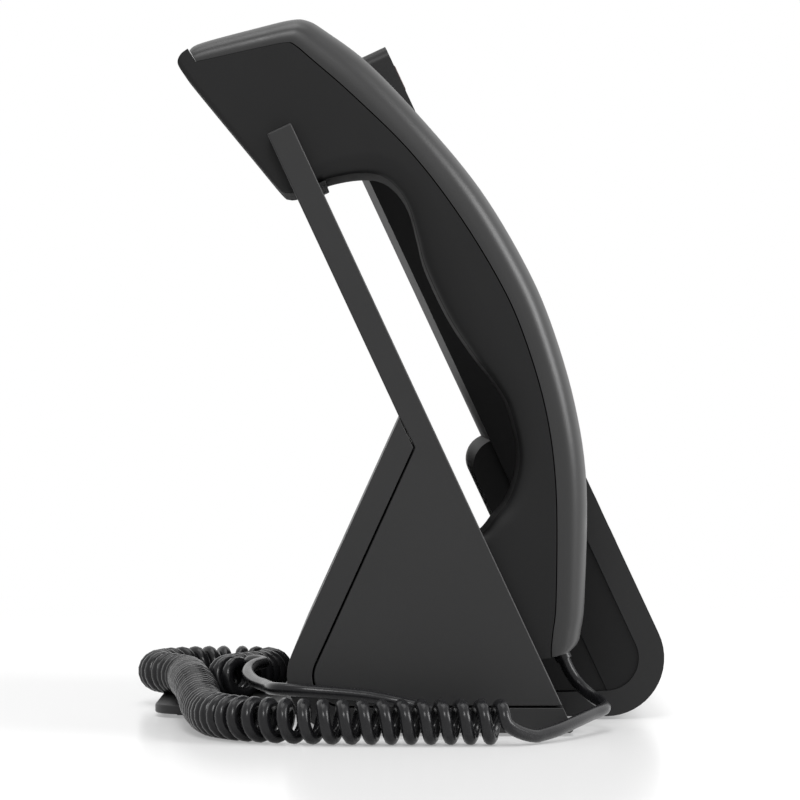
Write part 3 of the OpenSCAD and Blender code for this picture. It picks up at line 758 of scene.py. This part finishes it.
def seam_line(drop_by=0.0):
    """The line where the two shells meet, as (along, out) in mm."""
    line = curve_through([(s[0], s[1] - drop_by, 0) for s, _ in BACK_STATIONS], 6)
    return [(v.x, v.y) for v in line]


def back_shell():
    """The handset's back: crowned across, with round shoulders that run down to the seam."""
    back = [(v.x, v.y) for v in curve_through([(*b, 0) for _, b in BACK_STATIONS], 6)]
    bm = bmesh.new()
    across = 40
    squareness = 2 / 3.4
    rows = []
    for (seam_along, seam_out), (back_along, back_out) in zip(seam_line(), back):
        low = Vector((seam_along, seam_out))
        high = Vector((back_along, back_out))
        low.y += SEAM_GAP
        row = []
        for j in range(across + 1):
            angle = math.pi * j / across
            c, s = math.cos(angle), math.sin(angle)
            x = math.copysign(abs(c) ** squareness, c) * HAND_W / 2
            p = low.lerp(high, abs(s) ** squareness)
            row.append(bm.verts.new(on_slope(HAND_X + x, p.x * MM, p.y * MM)))
        rows.append(row)
    for a, b in zip(rows, rows[1:]):
        for j in range(across):
            bm.faces.new((a[j], a[j + 1], b[j + 1], b[j]))
        bm.faces.new((a[-1], a[0], b[0], b[-1]))
    bm.faces.new(rows[0])
    bm.faces.new(rows[-1])
    mesh = mesh_of(bm, "handset_back_shell")
    obj = new_piece("handset_back_shell", mesh, "handset_plastic", finish=FINISHES["handset_crown"])
    bevel(obj, 0.3 * MM, 2, 60)
    solved(obj)
    smooth_by_angle(obj.data, 40)
    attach(obj, "handset")
    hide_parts("handset_back")


# How far a rim rolls inwards across, for each millimetre that it reaches into the flank
ROLL_IN = 0.45


RIM_STEPS = 7


def rolled_rim(side):
    """One flank's rim: for each point of the inner side, an arc from the inner face to the flank."""
    inner = curve_through(INNER_SIDE, 5)
    rings = []
    for i, point in enumerate(inner):
        way = inner[min(i + 1, len(inner) - 1)] - inner[max(i - 1, 0)]
        inward = Vector((-way.y, way.x)).normalized()
        ring = []
        for k in range(RIM_STEPS + 1):
            angle = math.pi / 2 * k / RIM_STEPS
            depth = point.z * (1 - math.cos(angle))
            half = HAND_W / 2 / MM - point.z * ROLL_IN * (1 - math.sin(angle))
            ring.append((HAND_X + side * half * MM, (point.x + inward.x * depth) * MM,
                         (point.y + inward.y * depth) * MM))
        rings.append(ring)
    return rings


def front_shell_mesh():
    """Flat flanks whose rim rolls over to the inner side, with the widest roll along the grip."""
    seam = seam_line(SEAM_GAP)
    sides = [rolled_rim(side) for side in (-1, 1)]
    bm = bmesh.new()
    made = [[[bm.verts.new(on_slope(*p)) for p in ring] for ring in rings] for rings in sides]
    left, right = made
    for i in range(len(left) - 1):
        bm.faces.new((left[i][0], left[i + 1][0], right[i + 1][0], right[i][0]))
        for rings in made:
            for k in range(RIM_STEPS):
                bm.faces.new((rings[i][k], rings[i][k + 1], rings[i + 1][k + 1], rings[i + 1][k]))
    seam_points = [Vector((along * MM, out * MM, 0)) for along, out in seam]
    tops = []
    for side, rings, outlines in zip((-1, 1), made, sides):
        x = HAND_X + side * HAND_W / 2
        top = [bm.verts.new(on_slope(x, along * MM, out * MM)) for along, out in seam]
        tops.append(top)
        edge = [ring[-1] for ring in rings] + top
        rim = [Vector((ring[-1][1], ring[-1][2], 0)) for ring in outlines]
        for corners in tessellate_polygon([rim + seam_points]):
            bm.faces.new([edge[n] for n in corners])
    for i in range(len(seam) - 1):
        bm.faces.new((tops[0][i], tops[0][i + 1], tops[1][i + 1], tops[1][i]))
    bm.faces.new([tops[0][0], tops[1][0]] + list(reversed(right[-1])) + left[-1])
    bm.faces.new([tops[0][-1], tops[1][-1]] + list(reversed(right[0])) + left[0])
    return mesh_of(bm, "handset_front_shell")


def facing(x, along, out, face_along, face_out):
    """A frame on one of the handset's two inner faces, whose z points out of the plastic."""
    face = Vector((0, face_along, face_out)).normalized()
    across = Vector((-1, 0, 0))
    normal = across.cross(face)
    turn = Matrix((across, face, normal)).transposed().to_4x4()
    return SLOPE @ Matrix.Translation((x, along * MM, out * MM)) @ turn


def front_shell():
    """The handset's front, with sound holes at both ends, and an inner side that is rougher and painted
    darker as shade.
    """
    ear = openings("ear_holes", facing(HAND_X, 183, 30, 44.6, -11.4), Width=0.0144, Height=0.0144,
                   Columns=7, Rows=7, Oval=0.0078, Size=(0.0012, 0.0012, 0.003), Sides=12)
    mouth = openings("mouth_holes", facing(HAND_X, 18, 34.5, 28, 3.8), Width=0.012, Height=0.0048,
                     Columns=6, Rows=3, Oval=0.02, Size=(0.0011, 0.0011, 0.003), Sides=12)
    obj = new_piece("handset_front_shell", front_shell_mesh(), "handset_plastic")
    cut_with(obj, (ear, mouth))
    solved(obj)
    obj.data.materials.clear()
    for finish in ("handset_plastic", "handset_inside_painted_shade"):
        obj.data.materials.append(FINISHES[finish])
    # Faces that turn neither to a flank nor towards the back take the inner finish, which paints shade there
    unlean = SLOPE.inverted().to_3x3()
    for face in obj.data.polygons:
        normal = unlean @ face.normal
        face.material_index = int(abs(normal.x) < 0.5 and normal.z < 0.2)
    smooth_by_angle(obj.data, 35)
    level_faces(obj)
    solved(obj)
    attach(obj, "handset")
    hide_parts("handset_front")
    drop(ear, mouth)


# ---------- Keys ----------
DIGITS = {"key_%d" % n: str(n) for n in range(10)}
DIGITS.update({"key_star": "*", "key_hash": "#"})
SOFT_KEYS = ["soft_key_%d" % n for n in range(1, 5)]
SIDE_KEYS = ["volume_rocker", "headset_key", "mute_key", "speaker_key"]
# How far each ring of a cap lies in from the edge and below the top, in mm
CAP_RINGS = [(0, 3.4), (0, 0.8), (0.1, 0.5), (0.3, 0.3), (0.6, 0.2), (1.2, 0.11), (2.0, 0.04), (2.7, 0)]
KEY_CORNER = 1.6
LEAST_CORNER = 0.25
# A cap's outline is measured on the CAD key's points no deeper than this
CAP_DEPTH = 0.9 * MM


def rounded_corners(half_x, half_y, radius, steps=5):
    """A rectangle's outline with rounded corners, anticlockwise from the right."""
    points = []
    for turn in range(4):
        cx = (half_x - radius) * (1 if turn in (0, 3) else -1)
        cy = (half_y - radius) * (1 if turn in (0, 1) else -1)
        for k in range(steps + 1):
            angle = math.pi / 2 * (turn + k / steps)
            points.append((cx + radius * math.cos(angle), cy + radius * math.sin(angle)))
    return points


def keycap(node):
    """A crowned cap with soft edges in a CAD key's own place."""
    low, high = slope_box(node)
    mid = (low + high) / 2
    points = [SLOPE.inverted() @ v.co for v in frame["nodes"][node].data.vertices]
    face = [p for p in points if p.z > high.z - CAP_DEPTH]
    half_x = max(abs(p.x - mid.x) for p in face)
    half_y = max(abs(p.y - mid.y) for p in face)
    bm = bmesh.new()
    rings = []
    for inset, below in CAP_RINGS:
        radius = max(KEY_CORNER - inset, LEAST_CORNER) * MM
        shape = rounded_corners(half_x - inset * MM, half_y - inset * MM, radius)
        rings.append([bm.verts.new(on_slope(mid.x + x, mid.y + y, high.z - below * MM)) for x, y in shape])
    count = len(rings[0])
    for a, b in zip(rings, rings[1:]):
        for j in range(count):
            k = (j + 1) % count
            bm.faces.new((a[j], a[k], b[k], b[j]))
    bm.faces.new(rings[0])
    bm.faces.new(rings[-1])
    mesh = mesh_of(bm, node + "_cap")
    smooth_by_angle(mesh, 50)
    obj = new_piece(node + "_cap", mesh, slot_of[node], body_of[node])
    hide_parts(node)
    return mid.x, mid.y, high.z


# How far a mark reaches below and above the top of its key
PRINT_UNDER = 0.12 * MM
PRINT_OVER = 0.05 * MM
DIGIT_SIZE = 6.4 * MM
STAR_SIZE = 8.5 * MM


def printed(name, node, outlines, x, along, top):
    """Raised marks on a key: flat outlines, in mm round the key's middle, with a little height."""
    bm = bmesh.new()
    for outline in outlines:
        levels = [
            [bm.verts.new(on_slope(x + px * MM, along + py * MM, top + height)) for px, py in outline]
            for height in (-PRINT_UNDER, PRINT_OVER)
        ]
        count = len(outline)
        bm.faces.new(levels[0])
        bm.faces.new(levels[1])
        for j in range(count):
            k = (j + 1) % count
            bm.faces.new((levels[0][j], levels[0][k], levels[1][k], levels[1][j]))
    new_piece(name, mesh_of(bm, name), slot_of[node], body_of[node], INK)


def digit(node, text, x, along, top):
    """A raised digit, star or hash on a dial key."""
    curve = bpy.data.curves.new("digit", "FONT")
    curve.body = text
    curve.size = STAR_SIZE if text == "*" else DIGIT_SIZE
    curve.align_x = "CENTER"
    curve.extrude = (PRINT_UNDER + PRINT_OVER) / 2
    curve.resolution_u = 3
    obj = bpy.data.objects.new("digit", curve)
    bpy.context.collection.objects.link(obj)
    bpy.context.view_layer.update()
    raw = bpy.data.meshes.new_from_object(obj.evaluated_get(bpy.context.evaluated_depsgraph_get()))
    bpy.data.objects.remove(obj)
    centre_y = (max(v.co.y for v in raw.vertices) + min(v.co.y for v in raw.vertices)) / 2
    height = top + (PRINT_OVER - PRINT_UNDER) / 2
    raw.transform(SLOPE @ Matrix.Translation((x, along - centre_y, height)))
    bm = bmesh.new()
    bm.from_mesh(raw)
    bpy.data.meshes.remove(raw)
    new_piece(node + "_print", mesh_of(bm, node + "_print"), slot_of[node], body_of[node], INK)


def bar(x, y, half_x, half_y):
    """A rectangle's outline round its middle."""
    return [(x + a * half_x, y + b * half_y) for a, b in ((-1, -1), (1, -1), (1, 1), (-1, 1))]


def arc(radius, y, steps):
    """The upper half of a circle, anticlockwise, as points round (0, y)."""
    turns = [math.pi * k / steps for k in range(steps + 1)]
    return [(radius * math.cos(t), y + radius * math.sin(t)) for t in turns]


# Marks in mm round the middle of a key
HORN = [(-2, -0.8), (-1, -0.8), (0.5, -2), (0.5, 2), (-1, 0.8), (-2, 0.8)]
WAVE = [(1.3, -1.3), (1.7, -1.5), (2.2, 0), (1.7, 1.5), (1.3, 1.3), (1.7, 0)]
CAPSULE_TOP = arc(0.8, 0.9, 6)
CAPSULE = CAPSULE_TOP + [(-x, 0.6 - y) for x, y in CAPSULE_TOP]
BAND = arc(2.2, -0.4, 8) + arc(1.75, -0.4, 8)[::-1]
ARROW = [(-0.9, -0.6), (0.9, -0.6), (0, 0.8)]
SOFT_DASH = bar(0, 0, 3, 0.25)
# The arrows' distance from the ring's middle, as a part of its radius
ARROW_PLACE = 0.74
MARKS = {
    "volume_rocker": [bar(-8.5, 0, 1.3, 0.22), bar(8.5, 0, 1.3, 0.22), bar(8.5, 0.76, 0.22, 0.53),
                      bar(8.5, -0.76, 0.22, 0.53)],
    "headset_key": [BAND, bar(-2, -1.2, 0.5, 0.8), bar(2, -1.2, 0.5, 0.8)],
    "mute_key": [CAPSULE, bar(0, -1.6, 0.2, 0.5), bar(0, -2.25, 1.1, 0.15)],
    "speaker_key": [HORN, WAVE],
}


def ring_arrows():
    """Four small arrows on the navigation ring, one for each way."""
    low, high = slope_box("navigation_ring")
    mid = (low + high) / 2
    reach = (high.x - low.x) / 2 / MM * ARROW_PLACE
    arrows = []
    for quarter in range(4):
        c = math.cos(quarter * math.pi / 2)
        s = math.sin(quarter * math.pi / 2)
        arrows.append([(x * c - (y + reach) * s, x * s + (y + reach) * c) for x, y in ARROW])
    printed("navigation_ring_print", "navigation_ring", arrows, mid.x, mid.y, high.z)


def keys():
    for node, text in DIGITS.items():
        digit(node, text, *keycap(node))
    for node in SIDE_KEYS:
        printed(node + "_print", node, MARKS[node], *keycap(node))
    for node in SOFT_KEYS:
        printed(node + "_print", node, [SOFT_DASH], *keycap(node))
    softened("navigation_ring", 0.5 * MM, 3)
    softened("ok_key", 0.5 * MM, 3)
    ring_arrows()


# ---------- Body and stand ----------
SLOTS_ALONG = 0.173
REAR_SHELL_EDGE = 0.0006


def back_of_body():
    """The body's rear shell, with two columns of air slots near its top."""
    low, high = slope_box("rear_shell")
    mid_x = (low.x + high.x) / 2
    place = SLOPE @ Matrix.Translation((mid_x, SLOTS_ALONG, low.z))
    slots = openings("air_slots", place, Width=0.050, Height=0.018, Columns=2, Rows=5, Oval=0.2,
                     Size=(0.0565, 0.0022, 0.0016), Sides=4)
    softened("rear_shell", REAR_SHELL_EDGE, 3, cutters=(slots,))
    drop(slots)


# How far each of these pieces' edges is rounded, in mm
EDGES = {
    "stand_fold": 0.5, "cradle_plate": 0.5, "inner_plate": 0.5, "right_plate": 0.5,
    "foot_plate": 0.6, "front_panel": 0.6, "rear_housing": 0.6,
}
SMALL_PIECES = (
    "earpiece_rest", "mouthpiece_rest", "rubber_feet", "screen_glass", "message_lamp", "hook_switch",
)


def body_and_stand():
    """The plain moulded pieces, with their edges softened."""
    for node, width in EDGES.items():
        softened(node, width * MM, 3)
    for node in SMALL_PIECES:
        softened(node, 0.3 * MM, 2)


camera()
studio()
cord()
back_shell()
front_shell()
keys()
back_of_body()
body_and_stand()

for node, obj in frame["nodes"].items():
    if not obj.hide_render:
        obj.data.materials.clear()
        obj.data.materials.append(FINISHES[slot_of[node]])
        smooth_by_angle(obj.data)
